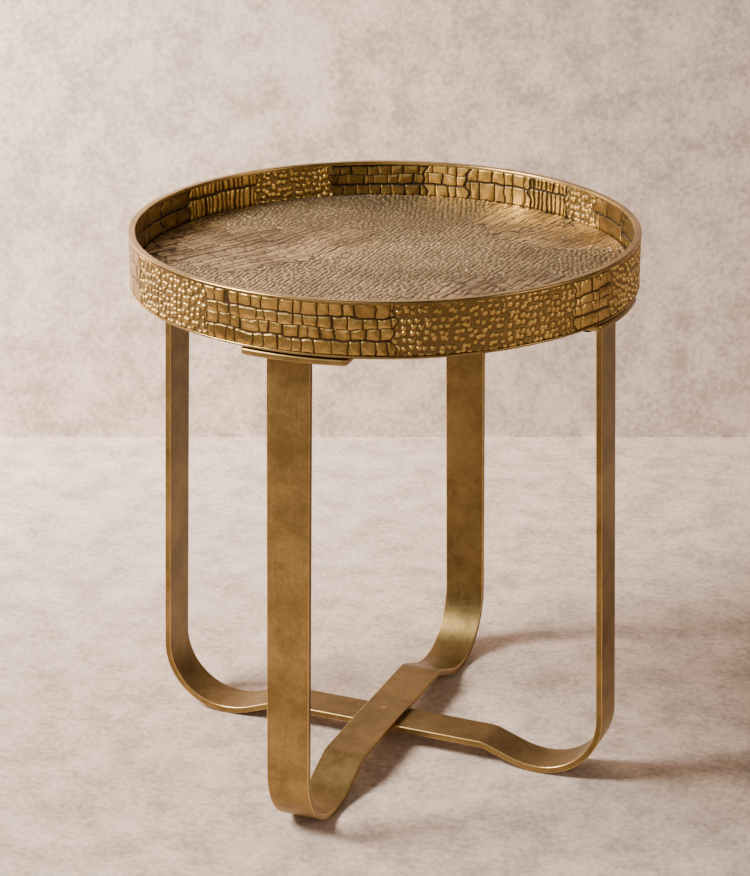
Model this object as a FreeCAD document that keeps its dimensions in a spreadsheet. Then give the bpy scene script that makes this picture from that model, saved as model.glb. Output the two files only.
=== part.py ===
"""A round brass tray table: an embossed tray screwed to two crossed, bent flat bars.

Millimetres, +Z up. The origin is on the floor under the middle of the tray. The upper bar
runs along Y and makes the front (-Y) and rear (+Y) legs. The lower bar runs along X and
makes the left (-X) and right (+X) legs. One rivet holds the bars together where they cross.
"""
import FreeCAD
import Part
import Sketcher
import math
import os

from FreeCAD import Placement, Rotation, Vector

# The driving dimensions: alias, value, and what it is. Lengths are millimetres, angles degrees.
SIZES = [
    ("tray_diameter", 460.0, "across the rim"),
    ("table_height", 512.0, "floor to the top of the rim"),
    ("wall_height", 49.0, "tray wall, with its rim cap and base bead"),
    ("sheet_gauge", 1.4, "embossed sheet, over its relief"),
    ("hoop_gauge", 3.2, "wooden hoop inside the wall"),
    ("core_thickness", 17.0, "board under the floor sheet"),
    ("core_drop", 2.0, "board below the base bead"),
    ("core_clearance", 0.3, "board inside the hoop, on the radius"),
    ("floor_clearance", 0.2, "floor sheet inside the rim cap, on the radius"),
    ("cap_overhang", 0.3, "rim cap and base bead past the bands"),
    ("cap_height", 3.0, "rim cap"),
    ("cap_round", 1.3, "rounding of the rim cap's top edges"),
    ("bead_height", 2.0, "base bead"),
    ("bead_round", 0.7, "rounding of the base bead's outer edges"),
    ("bar_width", 40.0, "flat bar"),
    ("bar_thickness", 6.0, "flat bar"),
    ("bar_edge", 0.8, "rounding of the flat bar's long edges"),
    ("leg_setback", 4.5, "tray's edge in to a leg's outer face, where it stands furthest out"),
    ("leg_lean", 1.9, "lean of a leg towards the middle as it rises"),
    ("corner_radius", 63.0, "leg bend, on the outer face"),
    ("foot_radius", 84.0, "inner half of a foot, on the underside"),
    ("crest_radius", 22.0, "rise into the raised middle, on the underside"),
    ("lower_rise", 20.0, "slope of the lower bar's rise"),
    ("upper_rise", 22.5, "slope of the upper bar's rise"),
    ("crossing_height", 15.5, "floor to the underside of the lower bar's middle"),
    ("plate_thickness", 6.0, "mounting plate"),
    ("plate_margin", 5.0, "screw head to the plate's end"),
    ("plate_depth", 32.0, "mounting plate, towards the middle"),
    ("plate_setback", 1.0, "tray's edge in to the plate's edge"),
    ("plate_shift", 9.0, "plate's middle to one side of its leg, along the rim"),
    ("plate_corner", 4.0, "corner rounding of the mounting plate"),
    ("plate_edge", 2.0, "rounding of the mounting plate's edges"),
    ("screw_setback", 19.5, "plate's outer edge in to the screws"),
    ("screw_gap", 2.5, "between the leg and the head of the nearer screw"),
    ("screw_diameter", 6.0, "screw shank"),
    ("screw_reach", 9.0, "screw above its plate"),
    ("screw_clearance", 0.3, "screw in the plate's hole, on the radius"),
    ("head_diameter", 11.0, "screw head"),
    ("head_height", 3.2, "screw head"),
    ("head_round", 1.2, "rounding of the screw head"),
    ("socket_width", 4.0, "hexagon socket, across its flats"),
    ("socket_depth", 2.0, "hexagon socket"),
    ("insert_diameter", 10.0, "threaded insert"),
    ("insert_length", 10.0, "threaded insert"),
    ("insert_clearance", 0.05, "insert in the board and screw in the insert, on the radius"),
    ("insert_room", 1.0, "insert's hole past the insert"),
    ("rivet_diameter", 8.0, "rivet shank"),
    ("rivet_clearance", 0.05, "rivet in the bars, on the radius"),
    ("rivet_head", 14.0, "rivet head's diameter, under the crossing"),
    ("rivet_head_height", 3.5, "rivet head"),
    ("rivet_head_round", 2.5, "rounding of the rivet head"),
    ("weld_size", 4.0, "fillet weld, along each face"),
    ("weld_inset", 3.0, "leg's side to the end of the fillet weld"),
    ("pad_thickness", 1.0, "floor pad, where it is thinnest"),
    ("pad_length", 14.0, "floor pad, along the bar"),
    ("pad_inset", 3.0, "foot's side to the floor pad's side"),
]

# The four legs, with the angle of each from +X.
LEGS = {"right": 0, "rear": 90, "left": 180, "front": 270}
# The side to which a leg's plate is shifted: towards +X on the upper bar and -Y on the lower bar.
PLATE_SIDES = {"right": -1, "rear": -1, "left": 1, "front": 1}

# Radii and heights worked out from the driving dimensions.
TRAY_EDGE = "sizes.tray_diameter / 2"
TRAY_BASE = "(sizes.table_height - sizes.wall_height)"
CAP_BASE = "(sizes.table_height - sizes.cap_height)"
BEAD_TOP = f"({TRAY_BASE} + sizes.bead_height)"
CORE_BASE = f"({TRAY_BASE} - sizes.core_drop)"
CORE_TOP = f"({CORE_BASE} + sizes.core_thickness)"
BAND_OUTSIDE = f"({TRAY_EDGE} - sizes.cap_overhang)"
HOOP_OUTSIDE = f"({BAND_OUTSIDE} - sizes.sheet_gauge)"
HOOP_INSIDE = f"({HOOP_OUTSIDE} - sizes.hoop_gauge)"
BAND_INSIDE = f"({HOOP_INSIDE} - sizes.sheet_gauge)"
CAP_INSIDE = f"({BAND_INSIDE} - sizes.cap_overhang)"
CORE_EDGE = f"({HOOP_INSIDE} - sizes.core_clearance)"
FLOOR_EDGE = f"({CAP_INSIDE} - sizes.floor_clearance)"
PLATE_BASE = f"({CORE_BASE} - sizes.plate_thickness)"
PLATE_OUTSIDE = f"({TRAY_EDGE} - sizes.plate_setback)"
PLATE_INSIDE = f"({PLATE_OUTSIDE} - sizes.plate_depth)"
SCREW_OUT = f"({PLATE_OUTSIDE} - sizes.screw_setback)"
SCREW_SIDE = "(sizes.plate_shift + (sizes.bar_width + sizes.head_diameter) / 2 + sizes.screw_gap)"
PLATE_REACH = f"({SCREW_SIDE} + sizes.head_diameter / 2 + sizes.plate_margin)"
PLATE_TURN = f"(sizes.plate_shift / {SCREW_OUT} * 180 / pi)"
LEG_FACE = f"({TRAY_EDGE} - sizes.leg_setback)"
FOOT_OUT = f"({LEG_FACE} - sizes.corner_radius)"
LEG_RISE = f"({PLATE_BASE} - sizes.pad_thickness - sizes.corner_radius)"
LEG_TOP_INSIDE = (f"({FOOT_OUT} + (sizes.corner_radius - sizes.bar_thickness) / cos(sizes.leg_lean)"
                  f" - {LEG_RISE} * tan(sizes.leg_lean))")
LOWER_CROSSING = "sizes.crossing_height"
UPPER_CROSSING = "(sizes.crossing_height + sizes.bar_thickness)"
CROSSING_TOP = "(sizes.crossing_height + 2 * sizes.bar_thickness)"

# The ends of a sketch element, and a sketch's own origin and upright axis.
START, END, CENTRE = 1, 2, 3
ORIGIN = (-1, START)
UPRIGHT_AXIS = -2

doc = FreeCAD.newDocument("brass_tray_table")
sheet = doc.addObject("Spreadsheet::Sheet", "sizes")
for row, (alias, number, note) in enumerate(SIZES, start=1):
    sheet.set(f"A{row}", note)
    sheet.set(f"B{row}", str(number))
    sheet.setAlias(f"B{row}", alias)
doc.recompute()

subparts = []


def value(expression):
    """The number that an expression of sheet cells stands for."""
    return float(sheet.evalExpression(expression))


def new_body(label, angle="0"):
    """The body of one sub-part, turned to an angle given as an expression."""
    body = doc.addObject("PartDesign::Body", label)
    body.Label = label
    body.AllowCompound = True
    body.Placement = Placement(Vector(0, 0, 0), Rotation(Vector(0, 0, 1), value(angle)))
    body.setExpression("Placement.Rotation.Angle", f"({angle}) * 1 deg")
    subparts.append(body)
    return body


def plate_angle(leg):
    """The angle of the middle of a leg's plate, from +X."""
    return f"({LEGS[leg]} + {PLATE_SIDES[leg]} * {PLATE_TURN})"


def origin_feature(body, role):
    return next(f for f in body.Origin.OriginFeatures if f.Role == role)


def new_sketch(body, role, name, shift=()):
    """A sketch on one of the body's origin planes, shifted in the plane and off it."""
    sketch = body.newObject("Sketcher::SketchObject", f"{body.Name}_{name}")
    sketch.AttachmentSupport = [(origin_feature(body, role), "")]
    sketch.MapMode = "FlatFace"
    for axis, distance in zip("xyz", shift):
        sketch.setExpression(f"AttachmentOffset.Base.{axis}", distance)
    return sketch


def tie(sketch, kind, *where):
    """Adds a constraint that has no size, such as Coincident or Tangent."""
    sketch.addConstraint(Sketcher.Constraint(kind, *where))


def constrain(sketch, name, kind, *where, to):
    """Adds a named constraint whose size follows an expression."""
    index = sketch.addConstraint(Sketcher.Constraint(kind, *where, value(to)))
    sketch.renameConstraint(index, name)
    sketch.setExpression(f"Constraints.{name}", to)


def locate(sketch, name, element, point, across, up):
    """Holds a point of a sketch at two expressions, measured from the sketch's origin."""
    constrain(sketch, f"{name}_across", "DistanceX", *ORIGIN, element, point, to=across)
    constrain(sketch, f"{name}_up", "DistanceY", *ORIGIN, element, point, to=up)


def polygon(sketch, corners):
    """Draws a closed outline of straight lines through corners of (across, up) expressions."""
    points = [Vector(value(across), value(up), 0) for across, up in corners]
    last = len(points) - 1
    for i, point in enumerate(points):
        sketch.addGeometry(Part.LineSegment(point, points[i + 1 if i < last else 0]))
    for i, (across, up) in enumerate(corners):
        tie(sketch, "Coincident", i - 1 if i else last, END, i, START)
        locate(sketch, f"corner_{i}", i, START, across, up)


def rectangle(sketch, left, right, bottom, top):
    polygon(sketch, [(left, bottom), (right, bottom), (right, top), (left, top)])


def constrain_angle(sketch, name, line, start, end, degrees):
    """Holds a line from start to end at an angle from the sketch's level axis."""
    first = math.atan2(end.y - start.y, end.x - start.x)
    index = sketch.addConstraint(Sketcher.Constraint("Angle", line, first))
    sketch.renameConstraint(index, name)
    sketch.setExpression(f"Constraints.{name}", f"({degrees}) * 1 deg")


def circle(sketch, name, radius, across="0", up="0"):
    middle = Vector(value(across), value(up), 0)
    index = sketch.addGeometry(Part.Circle(middle, Vector(0, 0, 1), value(radius)))
    constrain(sketch, f"{name}_radius", "Radius", index, to=radius)
    locate(sketch, name, index, CENTRE, across, up)


def arc(middle, start, end):
    """A counter-clockwise arc round a middle, from one point to another."""
    ring = Part.Circle(middle, Vector(0, 0, 1), (start - middle).Length)
    return Part.ArcOfCircle(ring, ring.parameter(start), ring.parameter(end))


def pad(body, sketch, length, midplane=False):
    feature = body.newObject("PartDesign::Pad", f"{body.Name}_pad")
    feature.Profile = sketch
    feature.Midplane = midplane
    feature.setExpression("Length", length)
    return feature


def cut_up(body, sketch, depth):
    """Cuts a sketch out of the body upwards, to a depth."""
    doc.recompute()
    feature = body.newObject("PartDesign::Pocket", f"{sketch.Name}_cut")
    feature.Profile = sketch
    feature.Reversed = True
    feature.setExpression("Length", depth)
    return feature


def revolve(body, sketch):
    """Turns a sketch right round the sketch's own upright axis."""
    feature = body.newObject("PartDesign::Revolution", f"{sketch.Name}_turned")
    feature.Profile = sketch
    feature.ReferenceAxis = (sketch, ["V_Axis"])
    feature.Angle = 360
    return feature


def mirror(body, features, plane):
    """Repeats features on the other side of one of the body's origin planes."""
    doc.recompute()
    feature = body.newObject("PartDesign::Mirrored", f"{body.Name}_mirrored")
    feature.Originals = features
    feature.MirrorPlane = (origin_feature(body, plane), [""])
    body.Tip = feature
    return feature


def round_edges(body, base, radius, wanted):
    """Rounds those edges of a feature for which wanted(edge) is true."""
    doc.recompute()
    names = [f"Edge{i}" for i, edge in enumerate(base.Shape.Edges, start=1) if wanted(edge)]
    feature = body.newObject("PartDesign::Fillet", f"{body.Name}_rounded_{len(body.Group)}")
    feature.Base = (base, names)
    feature.setExpression("Radius", radius)
    return feature


def level_at(height):
    """A test for edges that lie flat at a height."""
    level = value(height)
    return lambda edge: max(abs(edge.BoundBox.ZMin - level), abs(edge.BoundBox.ZMax - level)) < 1e-4


def is_upright(edge):
    return max(edge.BoundBox.XLength, edge.BoundBox.YLength) < 1e-4


def make_ring(label, inside, outside, bottom, top):
    """A ring of rectangular section round the table's middle line."""
    body = new_body(label)
    section = new_sketch(body, "XZ_Plane", "section")
    rectangle(section, inside, outside, bottom, top)
    return body, revolve(body, section)


def make_tray_wall():
    """The wall: a wooden hoop between two embossed bands, under a rim cap and on a base bead."""
    make_ring("rim_hoop", HOOP_INSIDE, HOOP_OUTSIDE, BEAD_TOP, CAP_BASE)
    make_ring("outer_band", HOOP_OUTSIDE, BAND_OUTSIDE, BEAD_TOP, CAP_BASE)
    make_ring("inner_band", BAND_INSIDE, HOOP_INSIDE, CORE_TOP, CAP_BASE)
    cap, ring = make_ring("rim_cap", CAP_INSIDE, TRAY_EDGE, CAP_BASE, "sizes.table_height")
    round_edges(cap, ring, "sizes.cap_round", level_at("sizes.table_height"))
    bead, ring = make_ring("base_bead", HOOP_INSIDE, TRAY_EDGE, TRAY_BASE, BEAD_TOP)
    edge_radius = value(TRAY_EDGE)
    round_edges(bead, ring, "sizes.bead_round", lambda edge: edge.BoundBox.ZLength < 1e-4
                and abs(edge.BoundBox.XMax - edge_radius) < 1e-3)


def make_core_board():
    """The board that carries the floor sheet, with a blind hole for each threaded insert."""
    body = new_body("core_board")
    outline = new_sketch(body, "XY_Plane", "outline", ("0", "0", CORE_BASE))
    circle(outline, "edge", CORE_EDGE)
    pad(body, outline, "sizes.core_thickness")
    holes = new_sketch(body, "XY_Plane", "holes", ("0", "0", CORE_BASE))
    hole_radius = "sizes.insert_diameter / 2 + sizes.insert_clearance"
    for leg in LEGS:
        along, across = f"cos({plate_angle(leg)})", f"sin({plate_angle(leg)})"
        for name, side in (("low", f"-{SCREW_SIDE}"), ("high", SCREW_SIDE)):
            circle(holes, f"{leg}_{name}_hole", hole_radius,
                   f"{SCREW_OUT} * {along} - {side} * {across}",
                   f"{SCREW_OUT} * {across} + {side} * {along}")
    cut_up(body, holes, "sizes.insert_length + sizes.insert_room")


def make_floor_sheet():
    body = new_body("floor_sheet")
    outline = new_sketch(body, "XY_Plane", "outline", ("0", "0", CORE_TOP))
    circle(outline, "edge", FLOOR_EDGE)
    pad(body, outline, "sizes.sheet_gauge")


def draw_bar_path(body, crossing, rise):
    """Draws half of a bar's middle line: from the raised middle down the rise, through the foot
    and round its bend, and up the leg into the plate's thickness."""
    half = "sizes.bar_thickness / 2"
    bend_radius, sole_radius = f"(sizes.corner_radius - {half})", f"(sizes.foot_radius - {half})"
    crest_radius = f"(sizes.crest_radius + {half})"
    low, high = f"(sizes.pad_thickness + {half})", f"({crossing} + {half})"
    end_level = f"({PLATE_BASE} + sizes.bar_thickness)"

    # The sketch's first positions, which the constraints then hold.
    slope = Rotation(Vector(0, 0, 1), -value(rise))
    lean = Rotation(Vector(0, 0, 1), value("sizes.leg_lean"))
    bottom = Vector(value(FOOT_OUT), value(low), 0)
    bend_middle = bottom + Vector(0, value(bend_radius), 0)
    bend_top = bend_middle + lean.multVec(Vector(value(bend_radius), 0, 0))
    upward = lean.multVec(Vector(0, 1, 0))
    leg_top = bend_top + upward * ((value(end_level) - bend_top.y) / upward.y)
    sole_middle = bottom + Vector(0, value(sole_radius), 0)
    sole_end = sole_middle - slope.multVec(Vector(0, value(sole_radius), 0))
    crest_arm = slope.multVec(Vector(0, value(crest_radius), 0))
    climb = value(high) - value(crest_radius) + crest_arm.y - sole_end.y
    uphill = slope.multVec(Vector(-1, 0, 0))
    crest_start = sole_end + uphill * (climb / uphill.y)
    crest_middle = crest_start - crest_arm
    crest_end = crest_middle + Vector(0, value(crest_radius), 0)

    path = new_sketch(body, "XZ_Plane", "path")
    middle, crest, ramp, sole, bend, leg = range(6)
    path.addGeometry(Part.LineSegment(Vector(0, crest_end.y, 0), crest_end))
    path.addGeometry(arc(crest_middle, crest_start, crest_end))
    path.addGeometry(Part.LineSegment(crest_start, sole_end))
    path.addGeometry(arc(sole_middle, sole_end, bottom))
    path.addGeometry(arc(bend_middle, bottom, bend_top))
    path.addGeometry(Part.LineSegment(bend_top, leg_top))
    tie(path, "Horizontal", middle)
    tie(path, "Tangent", middle, END, crest, END)
    tie(path, "Tangent", crest, START, ramp, START)
    tie(path, "Tangent", ramp, END, sole, START)
    tie(path, "Tangent", sole, END, bend, START)
    tie(path, "Tangent", bend, END, leg, START)
    tie(path, "Vertical", bend, CENTRE, bend, START)
    tie(path, "PointOnObject", middle, START, UPRIGHT_AXIS)
    locate(path, "foot", bend, START, FOOT_OUT, low)
    constrain(path, "bend_radius", "Radius", bend, to=bend_radius)
    constrain(path, "sole_radius", "Radius", sole, to=sole_radius)
    constrain(path, "crest_radius", "Radius", crest, to=crest_radius)
    constrain(path, "high", "DistanceY", *ORIGIN, middle, START, to=high)
    constrain(path, "end_level", "DistanceY", *ORIGIN, leg, END, to=end_level)
    constrain_angle(path, "rise", ramp, crest_start, sole_end, f"-{rise}")
    constrain_angle(path, "lean", leg, bend_top, leg_top, "90 + sizes.leg_lean")
    return path


def draw_bar_section(body, crossing):
    """Draws the flat bar's cross-section at its middle: a rectangle with rounded corners."""
    section = new_sketch(body, "YZ_Plane", "section")
    below, above = crossing, f"({crossing} + sizes.bar_thickness)"
    edge, side = value("sizes.bar_edge"), value("sizes.bar_width / 2")
    low, high = value(below) + edge, value(above) - edge
    middles = [Vector(side - edge, high, 0), Vector(edge - side, high, 0),
               Vector(edge - side, low, 0), Vector(side - edge, low, 0)]
    arms = [Vector(edge, 0, 0), Vector(0, edge, 0), Vector(-edge, 0, 0), Vector(0, -edge, 0)]
    corners = range(4)
    for i in corners:
        section.addGeometry(arc(middles[i], middles[i] + arms[i], middles[i] + arms[(i + 1) % 4]))
    for i in corners:
        following = (i + 1) % 4
        section.addGeometry(Part.LineSegment(middles[i] + arms[following],
                                             middles[following] + arms[following]))
    for i in corners:
        tie(section, "Tangent", i, END, 4 + i, START)
        tie(section, "Tangent", 4 + i, END, (i + 1) % 4, START)
    for i in corners[1:]:
        tie(section, "Equal", 0, i)
    tie(section, "Horizontal", 6)
    constrain(section, "edge", "Radius", 0, to="sizes.bar_edge")
    constrain(section, "one_side", "DistanceX", *ORIGIN, 0, START, to="sizes.bar_width / 2")
    constrain(section, "other_side", "DistanceX", *ORIGIN, 2, START, to="-sizes.bar_width / 2")
    constrain(section, "above", "DistanceY", *ORIGIN, 1, START, to=above)
    constrain(section, "below", "DistanceY", *ORIGIN, 3, START, to=below)
    return section


def make_leg_bar(label, leg, crossing, rise):
    """A flat bar bent into two legs and a raised middle, with a hole for the rivet. Each leg is
    cut off level against the underside of its plate."""
    body = new_body(label, str(LEGS[leg]))
    path = draw_bar_path(body, crossing, rise)
    section = draw_bar_section(body, crossing)
    doc.recompute()
    half_bar = body.newObject("PartDesign::AdditivePipe", f"{label}_half")
    half_bar.Profile = section
    half_bar.Spine = path
    trim = new_sketch(body, "XY_Plane", "trim", ("0", "0", PLATE_BASE))
    rectangle(trim, "0", TRAY_EDGE, "-sizes.bar_width", "sizes.bar_width")
    trimmed = cut_up(body, trim, "2 * sizes.bar_thickness")
    mirror(body, [half_bar, trimmed], "YZ_Plane")
    hole = new_sketch(body, "XY_Plane", "rivet_hole")
    circle(hole, "hole", "sizes.rivet_diameter / 2 + sizes.rivet_clearance")
    cut_up(body, hole, CROSSING_TOP)


def make_mounting_plate(leg):
    """A plate under the tray's edge that follows the rim, with a screw hole each side of the leg."""
    body = new_body(f"{leg}_mounting_plate", plate_angle(leg))
    outline = new_sketch(body, "XY_Plane", "outline", ("0", "0", PLATE_BASE))
    half_length = value(PLATE_REACH)
    outside, inside = value(PLATE_OUTSIDE), value(PLATE_INSIDE)
    outer_reach = (outside ** 2 - half_length ** 2) ** 0.5
    inner_reach = (inside ** 2 - half_length ** 2) ** 0.5
    outer_low, outer_high = Vector(outer_reach, -half_length, 0), Vector(outer_reach, half_length, 0)
    inner_low, inner_high = Vector(inner_reach, -half_length, 0), Vector(inner_reach, half_length, 0)
    outer, inner, high, low = range(4)
    outline.addGeometry(arc(Vector(0, 0, 0), outer_low, outer_high))
    outline.addGeometry(arc(Vector(0, 0, 0), inner_low, inner_high))
    outline.addGeometry(Part.LineSegment(outer_high, inner_high))
    outline.addGeometry(Part.LineSegment(inner_low, outer_low))
    tie(outline, "Coincident", outer, CENTRE, *ORIGIN)
    tie(outline, "Coincident", inner, CENTRE, *ORIGIN)
    tie(outline, "Coincident", outer, END, high, START)
    tie(outline, "Coincident", high, END, inner, END)
    tie(outline, "Coincident", inner, START, low, START)
    tie(outline, "Coincident", low, END, outer, START)
    tie(outline, "Horizontal", high)
    tie(outline, "Horizontal", low)
    constrain(outline, "outside", "Radius", outer, to=PLATE_OUTSIDE)
    constrain(outline, "inside", "Radius", inner, to=PLATE_INSIDE)
    constrain(outline, "high_end", "DistanceY", *ORIGIN, high, START, to=PLATE_REACH)
    constrain(outline, "low_end", "DistanceY", *ORIGIN, low, START, to=f"-{PLATE_REACH}")
    block = pad(body, outline, "sizes.plate_thickness")
    cornered = round_edges(body, block, "sizes.plate_corner", is_upright)
    lower = round_edges(body, cornered, "sizes.plate_edge", level_at(PLATE_BASE))
    round_edges(body, lower, "sizes.plate_edge", level_at(CORE_BASE))
    holes = new_sketch(body, "XY_Plane", "holes", ("0", "0", PLATE_BASE))
    hole_radius = "sizes.screw_diameter / 2 + sizes.screw_clearance"
    circle(holes, "low_hole", hole_radius, SCREW_OUT, f"-{SCREW_SIDE}")
    circle(holes, "high_hole", hole_radius, SCREW_OUT, SCREW_SIDE)
    cut_up(body, holes, "sizes.plate_thickness")


def make_weld_bead(leg):
    """The fillet weld between a leg's inner face and the underside of its plate."""
    body = new_body(f"{leg}_weld_bead", str(LEGS[leg]))
    section = new_sketch(body, "XZ_Plane", "section", (LEG_TOP_INSIDE, PLATE_BASE))
    polygon(section, [("0", "0"), ("-sizes.weld_size", "0"),
                      ("sizes.weld_size * sin(sizes.leg_lean)",
                       "-sizes.weld_size * cos(sizes.leg_lean)")])
    pad(body, section, "sizes.bar_width - 2 * sizes.weld_inset", midplane=True)


def make_plate_screws(leg):
    """The two button-head screws of a plate, with hexagon sockets."""
    body = new_body(f"{leg}_plate_screws", plate_angle(leg))
    section = new_sketch(body, "XZ_Plane", "section", (SCREW_OUT, PLATE_BASE, SCREW_SIDE))
    shank, head = "sizes.screw_diameter / 2", "sizes.head_diameter / 2"
    top = "(sizes.plate_thickness + sizes.screw_reach)"
    polygon(section, [("0", "-sizes.head_height"), (head, "-sizes.head_height"), (head, "0"),
                      (shank, "0"), (shank, top), ("0", top)])
    turned = revolve(body, section)
    head_base = f"({PLATE_BASE} - sizes.head_height)"
    rounded = round_edges(body, turned, "sizes.head_round", level_at(head_base))
    socket = new_sketch(body, "XY_Plane", "socket", (SCREW_OUT, f"-{SCREW_SIDE}", head_base))
    flat, corner = "sizes.socket_width / 2", "sizes.socket_width / 2 / cos(30)"
    polygon(socket, [(f"{corner} * cos({60 * i})", f"{corner} * sin({60 * i})") for i in range(6)])
    cut = cut_up(body, socket, "sizes.socket_depth")
    mirror(body, [turned, rounded, cut], "XZ_Plane")


def make_threaded_inserts(leg):
    """The two inserts in the core board that a plate's screws run into."""
    body = new_body(f"{leg}_threaded_inserts", plate_angle(leg))
    section = new_sketch(body, "XZ_Plane", "section", (SCREW_OUT, CORE_BASE, SCREW_SIDE))
    bore = "sizes.screw_diameter / 2 + sizes.insert_clearance"
    rectangle(section, bore, "sizes.insert_diameter / 2", "0", "sizes.insert_length")
    mirror(body, [revolve(body, section)], "XZ_Plane")


def make_cross_rivet():
    """The rivet through the crossing: flush with the upper bar and headed under the lower bar."""
    body = new_body("cross_rivet")
    section = new_sketch(body, "XZ_Plane", "section")
    shank, head = "sizes.rivet_diameter / 2", "sizes.rivet_head / 2"
    head_base = f"({LOWER_CROSSING} - sizes.rivet_head_height)"
    polygon(section, [("0", head_base), (head, head_base), (head, LOWER_CROSSING),
                      (shank, LOWER_CROSSING), (shank, CROSSING_TOP), ("0", CROSSING_TOP)])
    round_edges(body, revolve(body, section), "sizes.rivet_head_round", level_at(head_base))


def make_floor_pad(leg):
    """A thin pad under a foot: flat on the floor, and curved on top to fit the bar."""
    body = new_body(f"{leg}_floor_pad", str(LEGS[leg]))
    section = new_sketch(body, "XZ_Plane", "section", (FOOT_OUT, "0"))
    reach, thin = value("sizes.pad_length / 2"), value("sizes.pad_thickness")
    crown = Vector(0, thin, 0)
    tops = []
    for radius, side in ((value("sizes.foot_radius"), -1), (value("sizes.corner_radius"), 1)):
        tops.append(Vector(side * reach, thin + radius - (radius ** 2 - reach ** 2) ** 0.5, 0))
    inner_middle = crown + Vector(0, value("sizes.foot_radius"), 0)
    outer_middle = crown + Vector(0, value("sizes.corner_radius"), 0)
    inner_foot, outer_foot = Vector(-reach, 0, 0), Vector(reach, 0, 0)
    inner_arc, outer_arc, outer_end, sole, inner_end = range(5)
    section.addGeometry(arc(inner_middle, tops[0], crown))
    section.addGeometry(arc(outer_middle, crown, tops[1]))
    section.addGeometry(Part.LineSegment(tops[1], outer_foot))
    section.addGeometry(Part.LineSegment(outer_foot, inner_foot))
    section.addGeometry(Part.LineSegment(inner_foot, tops[0]))
    for one in range(1, 4):
        tie(section, "Coincident", one, END, one + 1, START)
    tie(section, "Coincident", inner_end, END, inner_arc, START)
    tie(section, "Tangent", inner_arc, END, outer_arc, START)
    tie(section, "Vertical", outer_end)
    tie(section, "Vertical", inner_end)
    tie(section, "PointOnObject", outer_arc, CENTRE, UPRIGHT_AXIS)
    locate(section, "crown", inner_arc, END, "0", "sizes.pad_thickness")
    locate(section, "outer_foot", sole, START, "sizes.pad_length / 2", "0")
    locate(section, "inner_foot", sole, END, "-sizes.pad_length / 2", "0")
    constrain(section, "foot_radius", "Radius", inner_arc, to="sizes.foot_radius")
    constrain(section, "corner_radius", "Radius", outer_arc, to="sizes.corner_radius")
    pad(body, section, "sizes.bar_width - 2 * sizes.pad_inset", midplane=True)


make_tray_wall()
make_core_board()
make_floor_sheet()
make_leg_bar("lower_leg_bar", "right", LOWER_CROSSING, "sizes.lower_rise")
make_leg_bar("upper_leg_bar", "rear", UPPER_CROSSING, "sizes.upper_rise")
make_cross_rivet()
for leg_name in LEGS:
    make_mounting_plate(leg_name)
    make_weld_bead(leg_name)
    make_plate_screws(leg_name)
    make_threaded_inserts(leg_name)
    make_floor_pad(leg_name)

doc.recompute()
for item in doc.Objects:
    if "Invalid" in item.State or "Error" in item.State:
        raise RuntimeError(f"{item.Label} did not compute: {item.State}")

os.makedirs("parts", exist_ok=True)
for piece in subparts:
    if piece.Shape.isNull() or not piece.Shape.isValid():
        raise RuntimeError(f"{piece.Label} has no valid shape")
    piece.Shape.exportStep(f"parts/{piece.Label}.step")
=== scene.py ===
import math

import bmesh
import bpy
import numpy as np
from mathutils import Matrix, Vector


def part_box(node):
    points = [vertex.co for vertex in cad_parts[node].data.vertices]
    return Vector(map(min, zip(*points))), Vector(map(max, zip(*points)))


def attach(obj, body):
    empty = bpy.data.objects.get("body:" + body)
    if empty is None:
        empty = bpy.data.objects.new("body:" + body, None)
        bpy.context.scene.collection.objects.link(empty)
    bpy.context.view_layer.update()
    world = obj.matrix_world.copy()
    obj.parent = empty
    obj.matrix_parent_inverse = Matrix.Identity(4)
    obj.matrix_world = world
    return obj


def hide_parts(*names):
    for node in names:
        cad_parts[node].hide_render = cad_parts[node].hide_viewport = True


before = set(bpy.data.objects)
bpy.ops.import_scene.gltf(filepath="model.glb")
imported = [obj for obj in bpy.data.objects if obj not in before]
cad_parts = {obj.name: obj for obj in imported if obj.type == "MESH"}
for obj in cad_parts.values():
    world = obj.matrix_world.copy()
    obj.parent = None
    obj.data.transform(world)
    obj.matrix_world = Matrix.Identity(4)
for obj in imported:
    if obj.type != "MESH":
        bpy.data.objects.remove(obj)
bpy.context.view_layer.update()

bl_info = {
    "name": "Embossed Tray Table",
    "version": (1, 0, 0),
    "blender": (4, 5, 0),
    "location": "3D View > Sidebar > Tray Table",
    "description": "Makes the embossed brass tray, its bent flat-bar legs and their finishes",
    "category": "Add Mesh",
}

MM = 0.001
BODY = "root"
UP = Vector((0, 0, 1))

# The ground of an embossed sheet is divided into patches, each stamped with one grain: width
# and height of a scale in metres, whether it is pebbles, how close they stand, and a brightness
# share for its metal that is partly the metal's own tone and partly painted light and shade.
GRAINS = {
    "blocks": (12 * MM, 11.5 * MM, 0.0, 0.0, 1.0),
    "dull_painted_shade_blocks": (12.5 * MM, 10.5 * MM, 0.0, 0.0, 0.42),
    "tall_blocks": (12 * MM, 17 * MM, 0.0, 0.0, 0.8),
    "bright_painted_light_blocks": (12.5 * MM, 10.5 * MM, 0.0, 0.0, 1.4),
    "ribs": (5.5 * MM, 19 * MM, 0.0, 0.0, 1.6),
    "dull_painted_shade_ribs": (5.5 * MM, 19 * MM, 0.0, 0.0, 0.7),
    "plates": (27 * MM, 15 * MM, 0.0, 0.0, 0.7),
    "small_plates": (16 * MM, 8 * MM, 0.0, 0.0, 0.85),
    "slats": (15 * MM, 7 * MM, 0.0, 0.0, 0.85),
    "wrinkles": (22 * MM, 4.0 * MM, 0.0, 0.0, 1.3),
    "pebbles": (12 * MM, 10 * MM, 1.0, 1.0, 1.0),
    "bright_painted_light_pebbles": (12 * MM, 10 * MM, 1.0, 1.0, 1.5),
    "beads": (12 * MM, 10 * MM, 1.0, 0.0, 1.3),
}

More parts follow.
